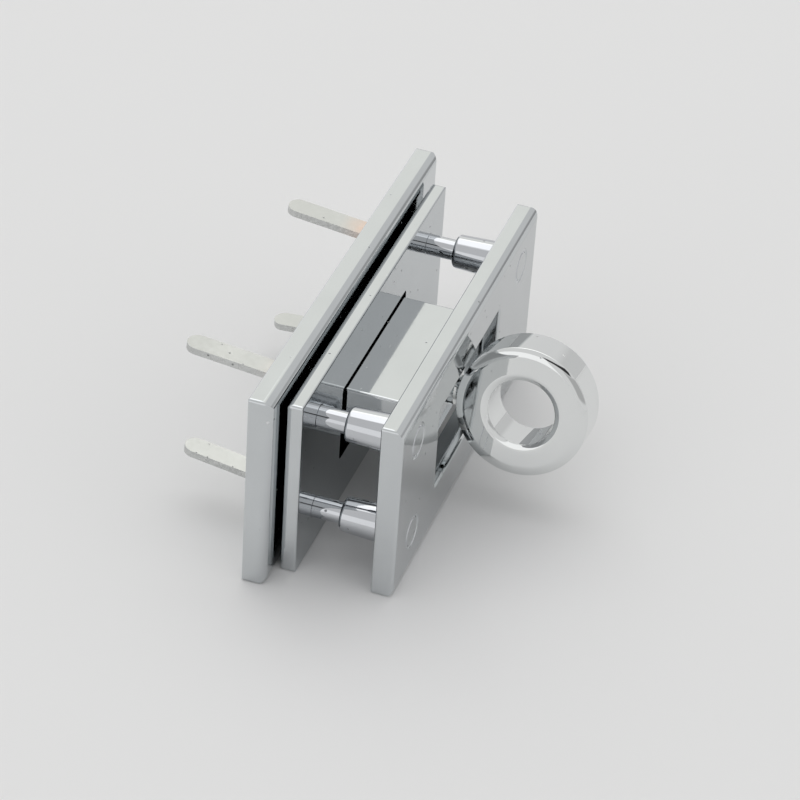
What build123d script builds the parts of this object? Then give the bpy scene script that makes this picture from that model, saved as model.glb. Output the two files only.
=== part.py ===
from build123d import *
import math
import os

# Turn lock for a handbag, in two units: a base unit that is fixed to the bag's
# body, and a flap unit that slips over its pedestal and is kept on by a ring
# knob turned across the slot. Millimetres. X runs along the plates, -Y is the
# lock's front, +Z is up. The origin is the centre of the base plate's back
# face, on the knob's axis. The plates stand on their long edges.

# ---- driving dimensions -----------------------------------------------------
# base plate
base_l, base_h, base_t = 59.5, 26.6, 3.0
base_round = 1.5             # long front edges
base_end_round = 1.2         # short front edges
base_over = 0.09             # these roundings end at the front face in a crisp edge
edge_back, edge_corner = 0.25, 0.4     # back edges and corners of all the plates
# flap plates
flap_l, flap_h = 52.0, 24.3
flap_z = -base_h / 2 + flap_h / 2      # both units stand on the same level
clamp_gap = 0.4              # base plate to clamp plate
clamp_t = 2.05
leather_gap = 9.5            # clamp plate to front plate
front_t = 2.8
front_round = 1.4
front_end_round = 0.4
clamp_round = 0.8            # long back edges of the clamp plate
clamp_end_round = 0.5
slot_hx, slot_hz, slot_r = 11.6, 5.3, 0.5
front_slot_hz = 5.75          # the front plate's slot is a little taller
slot_edge = 0.35             # its broken front edge
# pedestal
ped_hx, ped_hz, ped_front = 10.7, 3.7, -15.7
ped_wall, ped_cap = 1.2, 3.0
ped_edge = 0.3
flange_hx, flange_hz, flange_t = 15.2, 5.7, 0.7
cover_t = 0.7
fit_gap = 0.03               # loose seat between parts of the base unit
# cover screws
screw_x, screw_r, screw_head_r, screw_head_t, screw_len = 13.0, 0.8, 1.45, 0.6, 2.1
# knob
ring_y, ring_r, ring_bore, ring_w = -25.3, 8.3, 4.2, 5.95
ring_set = 12.0              # the ring sits this far round from the cam's flats
face_in, face_out = 5.1, 7.1           # flat part of the ring's faces, radii
mouth_slope, rim_slope = 26.0, 36.0    # slope of the domed face at the bore and at the rim
mouth_edge, rim_edge = 0.14, 0.14      # small edges there
stem_r, stem_clear, stem_end, stem_depth = 1.6, 0.03, -7.7, 3.1
collar_r, collar_t = 2.2, 0.7
stem_flat = 1.25             # distance of the flat from the axis
washer_r, washer_t = 2.35, 0.38
cam_half, cam_corner_r = 1.75, 2.35
cam_rear = -8.8
clip_r, clip_t, groove_r = 2.15, 0.36, 1.15
# detent springs
leaf_t, leaf_hz = 0.3, 2.2
# prongs
prong_x, prong_z, prong_w, prong_t, prong_in = 16.3, 7.9, 2.8, 0.9, 1.8
# pins and sleeves
pin_x, pin_dz, pin_r, pin_len = 19.9, 6.7, 1.35, 8.5
pin_up = 0.35                # the pins' pattern sits a little above the plates' middle
sleeve_len, sleeve_root_r, sleeve_nose_r, sleeve_nose_round = 5.85, 2.42, 2.14, 0.5
tenon_r, bore_clear, bore_len = 2.0, 0.01, 5.1

# ---- derived positions ------------------------------------------------------
clamp_back = -(base_t + clamp_gap)
clamp_front = clamp_back - clamp_t
front_back = clamp_front - leather_gap
front_face = front_back - front_t
cap_inner = ped_front + ped_cap            # inner side of the pedestal's cap
flange_back = -cover_t
flange_front = flange_back - flange_t


def box(x0, x1, y0, y1, z0, z1):
    return Pos((x0 + x1) / 2, (y0 + y1) / 2, (z0 + z1) / 2) * Box(
        abs(x1 - x0), abs(y1 - y0), abs(z1 - z0))


def rod(r, y0, y1, x=0.0, z=0.0):
    """round bar along Y from y0 to y1"""
    return Pos(x, (y0 + y1) / 2, z) * Rot(90, 0, 0) * Cylinder(r, abs(y1 - y0))


def cone_y(r0, y0, r1, y1, x=0.0, z=0.0):
    """round taper along Y, radius r0 at y0 and r1 at y1"""
    prof = Polygon((0, y0), (r0, y0), (r1, y1), (0, y1), align=None)
    return Pos(x, 0, z) * revolve(Plane.XY * prof, Axis.Y, 360)


def plate(length, height, t, r_long, r_end, over=0.0):
    """Flat plate that stands in XZ about the origin, from y 0 to -t. In front
    its long edges are rounded by r_long and its short ones by r_end, both cut
    short by over; the other edges and the corners are only broken."""
    full, t = t, t + over

    def outline(w, h, y, picks):
        sk = Pos(*y) * Rectangle(w, h)
        for pick, r in picks:
            sk = fillet([v for v in sk.vertices() if pick(v)], r)
        return sk

    tol = 1e-6
    side = outline(t, height, (-t / 2, 0), ((lambda v: v.X < tol - t, r_long), (lambda v: v.X > -tol, edge_back)))
    plan = outline(length, t, (0, -t / 2), ((lambda v: v.Y < tol - t, r_end), (lambda v: v.Y > -tol, edge_back)))
    front = outline(length, height, (0, 0), ((lambda v: True, edge_corner),))
    solid = extrude(Plane.YZ * side, length, both=True) & extrude(Plane.XY * plan, height, both=True)
    solid &= extrude(Plane.XZ * front, 40, both=True)
    return solid - box(-length, length, -full, -t - 1, -height, height) if over else solid


def slot_cut(y0, y1, hz):
    """rounded oblong window of the flap plates, about the plates' middle"""
    sk = RectangleRounded(2 * slot_hx, 2 * hz, slot_r)
    bar = extrude(Plane.XZ * sk, abs(y1 - y0) / 2, both=True)
    return Pos(0, (y0 + y1) / 2, 0) * bar


nodes = {}

# ---- base plate -------------------------------------------------------------
bp = plate(base_l, base_h, base_t, base_round, base_end_round, base_over)
bp -= box(-ped_hx - fit_gap, ped_hx + fit_gap, 1, -base_t - 1, -ped_hz - fit_gap, ped_hz + fit_gap)
bp -= box(-flange_hx - fit_gap, flange_hx + fit_gap, 1, flange_front, -flange_hz - fit_gap, flange_hz + fit_gap)
for sx in (-1, 1):
    bp -= rod(screw_r, 0, -screw_len - 0.05, sx * screw_x)
    for sz in (-1, 1):
        bp -= box(sx * prong_x - prong_w / 2, sx * prong_x + prong_w / 2, 1, -prong_in,
                  sz * prong_z - prong_t / 2, sz * prong_z + prong_t / 2)
nodes["base_plate"] = bp

# ---- pedestal: a box closed in front, with a flange let into the plate ------
ped = box(-ped_hx, ped_hx, flange_back, ped_front, -ped_hz, ped_hz)
ped = fillet(ped.edges().filter_by(Axis.Y), ped_edge)
ped = fillet(ped.faces().sort_by(Axis.Y)[0].edges(), ped_edge * 0.9)
ped += box(-flange_hx, flange_hx, flange_back, flange_front, -flange_hz, flange_hz)
ped -= box(-ped_hx + ped_wall, ped_hx - ped_wall, 1, cap_inner, -ped_hz + ped_wall, ped_hz - ped_wall)
ped -= rod(stem_r + stem_clear, cap_inner + 1, ped_front - 1)
for sx in (-1, 1):
    # seat for the foot of a leaf spring
    ped -= box(sx * (ped_hx - ped_wall - 0.2), sx * (ped_hx - 0.05), 1, flange_back - leaf_t,
               -leaf_hz - 0.05, leaf_hz + 0.05)
    ped -= rod(screw_r + 0.05, 0, flange_front - 1, sx * screw_x)
nodes["pedestal"] = ped

# ---- back cover, flush with the plate's back --------------------------------
cov = box(-flange_hx, flange_hx, 0, -cover_t, -flange_hz, flange_hz)
cov = fillet(cov.edges().filter_by(Axis.Y), 0.4)
for sx in (-1, 1):
    cov -= rod(screw_r + 0.05, 1, -2, sx * screw_x)
    cov -= cone_y(screw_head_r + 0.02, 0, screw_r + 0.02, -screw_head_t, sx * screw_x)
nodes["back_cover"] = cov

# ---- cover screws: two countersunk heads with a drive slot ------------------
scr = []
for sx in (-1, 1):
    s = cone_y(screw_head_r, 0, screw_r, -screw_head_t, sx * screw_x)
    s += rod(screw_r, -screw_head_t + 0.01, -screw_len, sx * screw_x)
    s -= box(sx * screw_x - 0.18, sx * screw_x + 0.18, 1, -0.3, -2, 2)
    scr.append(s)
nodes["cover_screws"] = Compound(children=scr)

# ---- prongs: flat strips with full-round tips, pressed into the plate -------
def prong(sx, sz, length, lift, sway):
    """length past the plate, tangent of the upward bend and of the sideways one"""
    stub = 1.0
    root = box(-prong_w / 2, prong_w / 2, -prong_in, stub, -prong_t / 2, prong_t / 2)
    n = length - stub
    strip = Rectangle(prong_w, n - prong_w / 2, align=(Align.CENTER, Align.MIN))
    strip += Pos(0, n - prong_w / 2) * Circle(prong_w / 2)
    strip += Rectangle(prong_w, 0.6)
    blade = extrude(strip, prong_t / 2, both=True)
    blade = Pos(0, stub, 0) * Rot(math.degrees(math.atan(lift)), 0, -math.degrees(math.atan(sway))) * blade
    return Pos(sx * prong_x, 0, sz * prong_z) * (root + blade)


prong_set = {
    "prong_near_top": (-1, 1, 12.8, 0.10, 0.0),
    "prong_near_bottom": (-1, -1, 12.85, 0.15, 0.0),
    "prong_far_top": (1, 1, 12.3, 0.10, 0.02),
    "prong_far_bottom": (1, -1, 13.3, -0.05, -0.03),
}
for name, spec in prong_set.items():
    nodes[name] = prong(*spec)

# ---- stem -------------------------------------------------------------------
ring_rim = ring_y + ring_r                       # rim's lowest point, on the axis
stem_tip = ring_rim - stem_depth
collar_back = ped_front - 0.05
stem = rod(stem_r, stem_end, stem_tip)
stem += rod(collar_r, collar_back, collar_back - collar_t)
clip_front = cam_rear + 0.02
stem -= rod(stem_r + 1, clip_front, clip_front + clip_t + 0.04) - rod(groove_r, clip_front - 1, clip_front + clip_t + 1)
washer_front = cap_inner + 0.02
washer_rear = washer_front + washer_t
cam_front = washer_rear + 0.01
stem -= box(-3, 3, stem_end + 1, cam_front, stem_flat, 3)
nodes["stem"] = stem

# ---- ring knob: its bore runs nearly along X while the lock is locked -------
def arc(cx, cy, r, a0, a1):
    """arc about (cx, cy) from angle a0 to a1, in degrees"""
    at = [(cx + r * math.cos(math.radians(q)), cy + r * math.sin(math.radians(q)))
          for q in (a0, (a0 + a1) / 2, a1)]
    return ThreePointArc(*at), at[0], at[2]


def ring_profile():
    """Section of the ring: x along its bore, y outwards. Straight bore and rim,
    faces that dome gently from a flat middle down to both, small edges."""
    top = ring_w / 2
    mo, rm = math.radians(mouth_slope), math.radians(rim_slope)
    r_mouth = ring_bore + mouth_edge * (1 - math.sin(mo))
    rho_in = (face_in - r_mouth) / math.sin(mo)
    s_bore = top - rho_in * (1 - math.cos(mo)) - mouth_edge * math.cos(mo)
    r_edge = ring_r - rim_edge * (1 - math.sin(rm))
    rho_out = (r_edge - face_out) / math.sin(rm)
    s_rim = top - rho_out * (1 - math.cos(rm)) - rim_edge * math.cos(rm)
    parts = []
    for s in (1, -1):
        def half(cx, cy, r, a0, a1):
            if s < 0:
                cx, a0, a1 = -cx, 180 - a0, 180 - a1
            return arc(cx, cy, r, a0, a1)[0]
        parts += [
            Line((0, ring_bore), (s * s_bore, ring_bore)),
            half(s_bore, ring_bore + mouth_edge, mouth_edge, -90, -mouth_slope),
            half(top - rho_in, face_in, rho_in, -mouth_slope, 0),
            Line((s * top, face_in), (s * top, face_out)),
            half(top - rho_out, face_out, rho_out, 0, rim_slope),
            half(s_rim, ring_r - rim_edge, rim_edge, rim_slope, 90),
            Line((s * s_rim, ring_r), (0, ring_r)),
        ]
    return make_face(Curve() + parts)


ring = revolve(ring_profile(), Axis.X, 360)
ring = Pos(0, ring_y, 0) * Rot(0, ring_set, 0) * ring
ring -= rod(stem_r, ring_rim + 3, stem_tip)
nodes["ring_knob"] = ring

# ---- thrust washer, cam and clip on the stem --------------------------------
nodes["thrust_washer"] = rod(washer_r, washer_front, washer_rear) - rod(stem_r + 0.04, washer_front - 1, washer_rear + 1)

cam = box(-cam_half, cam_half, cam_front, cam_rear, -cam_half, cam_half) & rod(cam_corner_r, cam_front - 1, cam_rear + 1)
cam -= rod(stem_r, cam_front - 1, cam_rear + 1) - box(-3, 3, cam_front - 2, cam_rear + 2, stem_flat, 3)
nodes["detent_cam"] = cam

clip = rod(clip_r, clip_front, clip_front + clip_t) - rod(groove_r, clip_front - 1, clip_front + 1)
clip -= box(-0.95, 0.95, clip_front - 1, clip_front + 1, 0, 3)
nodes["retaining_clip"] = clip

# ---- detent springs: leaves clamped under the cover, bearing on the cam -----
def leaf(s):
    a = cam_half + 0.01
    w = 3.0
    pts = [(ped_hx - 0.1, flange_back), (w, flange_back), (w, -7.7), (a, -9.4), (a, -12.1),
           (a + leaf_t, -12.1), (a + leaf_t, -9.48), (w + leaf_t, -7.78),
           (w + leaf_t, flange_back - leaf_t), (ped_hx - 0.1, flange_back - leaf_t)]
    pts = [(s * x, y) for x, y in pts]
    return extrude(Plane.XY * Polygon(*pts, align=None), leaf_hz, both=True)


nodes["detent_spring_near"] = leaf(-1)
nodes["detent_spring_far"] = leaf(1)

# ---- flap unit --------------------------------------------------------------
fp = Pos(0, front_back, 0) * plate(flap_l, flap_h, front_t, front_round, front_end_round)
fp -= slot_cut(front_back + 1, front_face - 1, front_slot_hz)
fp = fillet(fp.faces().sort_by(Axis.Y)[0].inner_wires()[0].edges(), slot_edge)
cp = Pos(0, clamp_front, 0) * Rot(180, 0, 0) * plate(flap_l, flap_h, clamp_t, clamp_round, clamp_end_round)
cp -= slot_cut(clamp_back + 1, clamp_front - 1, slot_hz)
spots = {"near_top": (-1, 1), "near_bottom": (-1, -1), "far_top": (1, 1), "far_bottom": (1, -1)}
swage_r, swage_off = 0.32, 0.16                  # round-bottomed ring left by swaging
pin_break = 0.12                                 # broken edge round each pin
swage = Pos(0, front_face - swage_off, 0) * Rot(90, 0, 0) * Torus(tenon_r, swage_r)
for key, (sx, sz) in spots.items():
    x, z = sx * pin_x, sz * pin_dz + pin_up
    fp -= rod(tenon_r, front_back + 1, front_face - 1, x, z)
    fp -= Pos(x, 0, z) * swage
    cp -= rod(pin_r, clamp_back + 1, clamp_front - 1, x, z)
    cp -= cone_y(pin_r + pin_break, clamp_front, pin_r, clamp_front + pin_break, x, z)
    # sleeve: tapered, round nose, plain bore, tenon through the front plate
    nose_y = front_back + sleeve_len
    body = cone_y(sleeve_root_r, front_back, sleeve_nose_r, nose_y)
    body = fillet(body.edges().filter_by(GeomType.CIRCLE).sort_by(Axis.Y)[-1], sleeve_nose_round)
    body += rod(tenon_r, front_back, front_face)
    body -= swage
    body -= rod(pin_r + bore_clear, nose_y + 1, nose_y - bore_len)
    nodes["sleeve_" + key] = Pos(x, 0, z + flap_z) * body
    pin = rod(pin_r, clamp_back, clamp_front - pin_len)
    pin = chamfer(pin.edges().filter_by(GeomType.CIRCLE).sort_by(Axis.Y)[0], 0.25)
    nodes["pin_" + key] = Pos(x, 0, z + flap_z) * pin
nodes["front_plate"] = Pos(0, 0, flap_z) * fp
nodes["clamp_plate"] = Pos(0, 0, flap_z) * cp

os.makedirs("parts", exist_ok=True)
for name, shape in nodes.items():
    export_step(shape, "parts/" + name + ".step")
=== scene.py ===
import math

import bpy
from mathutils import Matrix, Vector

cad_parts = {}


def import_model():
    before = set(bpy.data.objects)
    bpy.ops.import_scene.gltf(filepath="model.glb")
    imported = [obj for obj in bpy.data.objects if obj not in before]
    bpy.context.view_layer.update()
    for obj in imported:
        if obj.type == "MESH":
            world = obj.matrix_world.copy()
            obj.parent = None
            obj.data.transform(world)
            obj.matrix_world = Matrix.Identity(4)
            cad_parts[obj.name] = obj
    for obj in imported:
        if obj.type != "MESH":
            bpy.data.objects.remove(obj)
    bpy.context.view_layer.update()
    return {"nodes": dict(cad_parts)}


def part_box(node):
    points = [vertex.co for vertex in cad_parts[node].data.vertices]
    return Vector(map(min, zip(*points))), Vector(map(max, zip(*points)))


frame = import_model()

scene = bpy.context.scene
scene.view_settings.view_transform = "Standard"
scene.view_settings.look = "None"
scene.view_settings.exposure = 0.0
scene.view_settings.gamma = 1.0

FLOOR_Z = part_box("base_plate")[0].z


# ---------------------------------------------------------------- node helpers
class Tree:
    """Small helper to write a material's node tree."""

    def __init__(self, name):
        self.mat = bpy.data.materials.new(name)
        self.mat.use_nodes = True
        self.nt = self.mat.node_tree
        self.nt.nodes.clear()
        self.out = self.nt.nodes.new("ShaderNodeOutputMaterial")
        self.bsdf = self.nt.nodes.new("ShaderNodeBsdfPrincipled")
        self.nt.links.new(self.bsdf.outputs[0], self.out.inputs[0])
        self.coord = self.nt.nodes.new("ShaderNodeTexCoord").outputs["Object"]

    def link(self, a, b):
        self.nt.links.new(a, b)

    def mapping(self, scale=(1, 1, 1), loc=(0, 0, 0), rot=(0, 0, 0)):
        m = self.nt.nodes.new("ShaderNodeMapping")
        m.inputs["Scale"].default_value = scale
        m.inputs["Location"].default_value = loc
        m.inputs["Rotation"].default_value = rot
        self.link(self.coord, m.inputs["Vector"])
        return m.outputs[0]

    def noise(self, scale, detail=3.0, rough=0.5, vec=None, distort=0.0):
        n = self.nt.nodes.new("ShaderNodeTexNoise")
        n.inputs["Scale"].default_value = scale
        n.inputs["Detail"].default_value = detail
        n.inputs["Roughness"].default_value = rough
        n.inputs["Distortion"].default_value = distort
        self.link(vec or self.coord, n.inputs["Vector"])
        return n.outputs["Fac"]

    def cells(self, scale, vec=None, randomness=1.0):
        v = self.nt.nodes.new("ShaderNodeTexVoronoi")
        v.feature = "F1"
        v.inputs["Scale"].default_value = scale
        v.inputs["Randomness"].default_value = randomness
        self.link(vec or self.coord, v.inputs["Vector"])
        return v.outputs["Distance"], v.outputs["Color"]

    def remap(self, value, a, b, c, d, smooth=False):
        m = self.nt.nodes.new("ShaderNodeMapRange")
        m.interpolation_type = "SMOOTHSTEP" if smooth else "LINEAR"
        m.clamp = True
        for k, x in zip(("From Min", "From Max", "To Min", "To Max"), (a, b, c, d)):
            m.inputs[k].default_value = x
        self.link(value, m.inputs["Value"])
        return m.outputs[0]

    def math(self, op, a, b=None):
        m = self.nt.nodes.new("ShaderNodeMath")
        m.operation = op
        for i, x in enumerate((a, b)):
            if x is None:
                continue
            if isinstance(x, (int, float)):
                m.inputs[i].default_value = x
            else:
                self.link(x, m.inputs[i])
        return m.outputs[0]

    def mix(self, fac, a, b):
        m = self.nt.nodes.new("ShaderNodeMix")
        m.data_type = "RGBA"
        for sock, x in ((m.inputs[0], fac), (m.inputs[6], a), (m.inputs[7], b)):
            if isinstance(x, (tuple, list)):
                sock.default_value = (*x, 1.0)
            elif isinstance(x, (int, float)):
                sock.default_value = x
            else:
                self.link(x, sock)
        return m.outputs[2]

    def bump(self, height, strength, distance, normal=None):
        b = self.nt.nodes.new("ShaderNodeBump")
        b.inputs["Strength"].default_value = strength
        b.inputs["Distance"].default_value = distance
        self.link(height, b.inputs["Height"])
        if normal is not None:
            self.link(normal, b.inputs["Normal"])
        return b.outputs[0]


def specks(t, scale, radius, share, vec=None):
    """1 in small round spots, 0 elsewhere; share is the part of the cells that has one"""
    dist, col = t.cells(scale, vec)
    inside = t.remap(dist, radius * 0.55, radius, 1.0, 0.0, True)
    sep = t.nt.nodes.new("ShaderNodeSeparateColor")
    t.link(col, sep.inputs[0])
    chosen = t.math("LESS_THAN", sep.outputs[0], share)
    return t.math("MULTIPLY", inside, chosen)


def chrome(name, tint, rough, cloud=0.04, pits=0.12, wave=0.25, grain=None, sides=None, flush=None, painted_shade_bands=()):
    """polished plating: cloudy tone, slight orange peel, tiny pits and dust.
    sides: strength of the coarse pitting on faces that look sideways or down;
    flush: (first y, last y, strength) of a warm tone left by the bath near the root;
    painted shade bands: (first y, last y, tint), a darker tint painted between these y to stand in for shade, one
    for each band"""
    t = Tree(name)
    clouds = t.noise(160, 3, 0.55)
    fine = t.noise(1400, 2, 0.5)
    tone = t.remap(clouds, 0.3, 0.7, 0.0, 1.0)
    dark = tuple(c * (1 - cloud) for c in tint)
    base = t.mix(tone, dark, tint)
    # painted shade: each band gets a darker tint between its first and last y
    for first, last, shade_tint in painted_shade_bands:
        y = t.nt.nodes.new("ShaderNodeSeparateXYZ")
        t.link(t.coord, y.inputs[0])
        between = t.math("MULTIPLY", t.math("GREATER_THAN", y.outputs[1], first),
                         t.math("LESS_THAN", y.outputs[1], last))
        base = t.mix(between, base, t.mix(tone, tuple(c * (1 - cloud) for c in shade_tint), shade_tint))
    pit = specks(t, 900, 0.16, pits)
    dust = specks(t, 420, 0.10, pits * 0.7, t.mapping(loc=(0.37, 0.11, 0.73)))
    base = t.mix(t.math("MULTIPLY", pit, 0.75), base, tuple(c * 0.35 for c in tint))
    base = t.mix(t.math("MULTIPLY", dust, 0.6), base, (0.92, 0.92, 0.92))
    if flush:
        sep = t.nt.nodes.new("ShaderNodeSeparateXYZ")
        t.link(t.coord, sep.inputs[0])
        warm = t.remap(sep.outputs[1], flush[0], flush[1], flush[2], 0.0, True)
        warm = t.math("MULTIPLY", warm, t.remap(t.noise(420, 2, 0.5), 0.3, 0.6, 0.5, 1.0))
        base = t.mix(warm, base, (0.80, 0.58, 0.47))
    t.link(base, t.bsdf.inputs["Base Color"])
    r = t.remap(fine, 0.35, 0.75, rough * 0.8, rough * 1.5)
    r = t.math("ADD", r, t.math("MULTIPLY", t.math("MAXIMUM", pit, dust), 0.35))
    peel = t.noise(230, 2, 0.4)
    n = t.bump(peel, wave, 0.00002)
    if grain:
        lines = t.noise(1.0, 3, 0.6, t.mapping(scale=grain))
        n = t.bump(lines, 0.25, 0.00002, n)
    if sides:
        geo = t.nt.nodes.new("ShaderNodeNewGeometry")
        nz = t.nt.nodes.new("ShaderNodeSeparateXYZ")
        t.link(geo.outputs["True Normal"], nz.inputs[0])
        steep = t.remap(nz.outputs[2], 0.5, 0.9, 1.0, 0.0)
        rag = t.noise(2600, 3, 0.7)
        cell, _ = t.cells(1500)
        h = t.math("MULTIPLY", t.math("ADD", rag, cell), steep)
        n = t.bump(h, sides, 0.00012, n)
        r = t.math("ADD", r, t.math("MULTIPLY", steep, 0.12))
    t.link(r, t.bsdf.inputs["Roughness"])
    t.bsdf.inputs["Metallic"].default_value = 1.0
    n = t.bump(t.math("SUBTRACT", dust, pit), 0.5, 0.00004, n)
    t.link(n, t.bsdf.inputs["Normal"])
    return t.mat


def assign(mat, *nodes):
    for n in nodes:
        o = frame["nodes"][n]
        o.data.materials.clear()
        o.data.materials.append(mat)


CHROME = (0.625, 0.648, 0.660)
assign(chrome("plate_chrome", CHROME, 0.06), "base_plate", "pedestal")
# painted shade: the two flap plates' faces that look at each other get a darker tint for the shade between the
# plates, and the front face a darker tint for the shaded floor it reflects
# painted shade between the plates: darker tint on the faces that look at each other
inner_faces_painted_shade = (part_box("front_plate")[1].y - 0.00002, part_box("clamp_plate")[0].y + 0.00002, (0.52, 0.545, 0.56))
# painted shade: darker tint on the front plate's front face for the shaded floor it reflects
front_face_painted_shade = (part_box("front_plate")[0].y - 0.001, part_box("front_plate")[0].y + 0.00002, (0.53, 0.548, 0.558))
assign(chrome("flap_chrome", CHROME, 0.06, painted_shade_bands=(inner_faces_painted_shade, front_face_painted_shade)), "front_plate", "clamp_plate")
assign(chrome("knob_chrome", (0.80, 0.815, 0.812), 0.03, cloud=0.02, pits=0.05, wave=0.12), "ring_knob", "stem")
# the pin and sleeve ends on the front face get the same painted shade as the front face
assign(chrome("pin_chrome", (0.60, 0.615, 0.64), 0.05, pits=0.1, wave=0.3, painted_shade_bands=(front_face_painted_shade,)),
       *[n for n in frame["nodes"] if n.startswith(("pin_", "sleeve_"))])
PRONG = (0.63, 0.64, 0.63)
assign(chrome("prong_chrome", PRONG, 0.16, cloud=0.08, pits=0.3, wave=0.5, sides=0.8, flush=(0.0, 0.004, 0.18)),
       "prong_near_top", "prong_near_bottom", "prong_far_bottom")
assign(chrome("prong_chrome_warm", PRONG, 0.16, cloud=0.08, pits=0.3, wave=0.5, sides=0.8, flush=(0.0015, 0.0055, 0.75)),
       "prong_far_top")
assign(chrome("cover_steel", (0.50, 0.51, 0.52), 0.22, cloud=0.12, pits=0.2, wave=0.2, grain=(30, 3000, 3000)),
       "back_cover", "cover_screws")
assign(chrome("spring_steel", (0.25, 0.27, 0.32), 0.25, cloud=0.2, pits=0.2, grain=(3000, 40, 3000)),
       "detent_spring_near", "detent_spring_far", "retaining_clip")
assign(chrome("turned_brass", (0.75, 0.52, 0.22), 0.2, cloud=0.12, pits=0.1), "detent_cam", "thrust_washer")


# ---------------------------------------------------------------- floor
def floor_material():
    t = Tree("pale_board")
    t.bsdf.inputs["Roughness"].default_value = 0.75
    t.bsdf.inputs["Specular IOR Level"].default_value = 0.3
    tone = t.noise(6, 2, 0.5)
    t.link(t.mix(tone, (0.80, 0.80, 0.802), (0.82, 0.82, 0.822)), t.bsdf.inputs["Base Color"])
    return t.mat


def make_floor():
    bpy.ops.mesh.primitive_circle_add(vertices=96, radius=2.0, fill_type="NGON", location=(0, 0, FLOOR_Z))
    f = bpy.context.object
    f.name = "floor"
    f.data.materials.append(floor_material())


make_floor()


# ---------------------------------------------------------------- light
def world():
    """a pale room with some brighter and darker panels, at fixed places in it"""
    w = bpy.data.worlds.new("studio")
    scene.world = w
    w.use_nodes = True
    nt = w.node_tree
    nt.nodes.clear()
    out = nt.nodes.new("ShaderNodeOutputWorld")
    bg = nt.nodes.new("ShaderNodeBackground")
    tc = nt.nodes.new("ShaderNodeTexCoord").outputs["Generated"]

    def calc(op, x, y=None):
        m = nt.nodes.new("ShaderNodeMath")
        m.operation = op
        for i, q in enumerate((x, y)):
            if isinstance(q, (int, float)):
                m.inputs[i].default_value = q
            elif q is not None:
                nt.links.new(q, m.inputs[i])
        return m.outputs[0]

    def along(d):
        dot = nt.nodes.new("ShaderNodeVectorMath")
        dot.operation = "DOT_PRODUCT"
        nt.links.new(tc, dot.inputs[0])
        dot.inputs[1].default_value = d
        return dot.outputs["Value"]

    def step(value, lo, hi):
        m = nt.nodes.new("ShaderNodeMapRange")
        m.interpolation_type = "SMOOTHSTEP"
        m.inputs["From Min"].default_value = lo
        m.inputs["From Max"].default_value = hi
        nt.links.new(value, m.inputs["Value"])
        return m.outputs[0]

    total = warm = None
    for level, centre, side, half_w, half_h, soft in PANELS:
        if centre is None:
            total = calc("ADD", level, 0.0)
            continue
        # a rectangle on the sphere: its middle, its sideways axis and the two half angles
        c = Vector(centre).normalized()
        r = Vector(side)
        r = (r - r.dot(c) * c).normalized()
        u = c.cross(r)
        front = step(along(c), 0.0, 0.05)
        x = calc("ARCTAN2", along(r), along(c))
        y = calc("ARCSINE", along(u))
        inx = step(calc("ABSOLUTE", x), math.radians(half_w + soft), math.radians(half_w))
        iny = step(calc("ABSOLUTE", y), math.radians(half_h + soft), math.radians(half_h))
        inside = calc("MULTIPLY", calc("MULTIPLY", inx, iny), front)
        total = calc("ADD", total, calc("MULTIPLY", inside, level))
        warm = warm or inside
    nt.links.new(total, bg.inputs["Strength"])
    tint = nt.nodes.new("ShaderNodeMix")
    tint.data_type = "RGBA"
    tint.inputs[6].default_value = (1.0, 1.0, 1.0, 1)
    tint.inputs[7].default_value = (1.0, 1.0, 0.955, 1)
    nt.links.new(warm, tint.inputs[0])
    nt.links.new(tint.outputs[2], bg.inputs["Color"])
    nt.links.new(bg.outputs[0], out.inputs[0])


def heading(az, el):
    a, e = math.radians(az), math.radians(el)
    return (math.cos(a) * math.cos(e), math.sin(a) * math.cos(e), math.sin(e))


# added radiance, middle, sideways axis, half width and half height in degrees, soft edge
PANELS = [
    (0.725, None, None, 0, 0, 0),                                  # the room
    (0.30, heading(25, 37), (-0.423, 0.906, 0), 26, 14, 3),        # window
    (0.55, heading(15, 68), (-0.26, 0.97, 0), 26, 20, 3),          # ceiling panel
    (0.30, heading(45, 10), (-0.707, 0.707, 0), 20, 11, 3),        # the window's low part
    (0.33, heading(158, 15), (-0.375, -0.927, 0), 19, 15, 2),      # pale wall on the near side
    (-0.27, heading(-142, 18), (0.616, -0.788, 0), 17, 10, 4),     # dim corner beside the camera
    (-0.20, heading(-55, 3), (0.819, 0.574, 0), 22, 9, 4),         # dim strip along the front
    (-0.12, heading(-22, 2), (0.375, 0.927, 0), 14, 8, 4),         # and behind the ring
    (-0.68, (-0.774, -0.234, 0.588), (0.3277, -0.9431, 0.0562), 14, 4.2, 1.2),   # dark panel
]


def softbox(name, loc, target, size, power, size_y=None):
    d = bpy.data.lights.new(name, "AREA")
    d.shape = "RECTANGLE" if size_y else "SQUARE"
    d.size = size
    if size_y:
        d.size_y = size_y
    d.energy = power
    o = bpy.data.objects.new(name, d)
    scene.collection.objects.link(o)
    o.location = loc
    o.rotation_euler = (Vector(target) - Vector(loc)).to_track_quat("-Z", "Y").to_euler()
    return o


world()
softbox("top_box", (0.20, 0.12, 0.56), (0, 0, 0), 0.50, 0.25)


# ---------------------------------------------------------------- camera
def camera():
    d = bpy.data.cameras.new("camera")
    d.sensor_fit = "HORIZONTAL"
    d.sensor_width = 36.0
    d.lens = 152.361
    d.clip_start = 0.02
    d.clip_end = 20
    o = bpy.data.objects.new("camera", d)
    scene.collection.objects.link(o)
    rows = ((0.3277157305294274, -0.9431044347077874, 0.056182071856319404),
            (0.5417694644921163, 0.2363091814838918, 0.8066249550381756),
            (-0.774007911656909, -0.23390595541994644, 0.5883874205925825))
    m = Matrix(rows).transposed().to_4x4()
    m.translation = Vector((-0.3230920506944889, -0.10677453129432233, 0.2415106608233272))
    o.matrix_world = m
    scene.camera = o


camera()
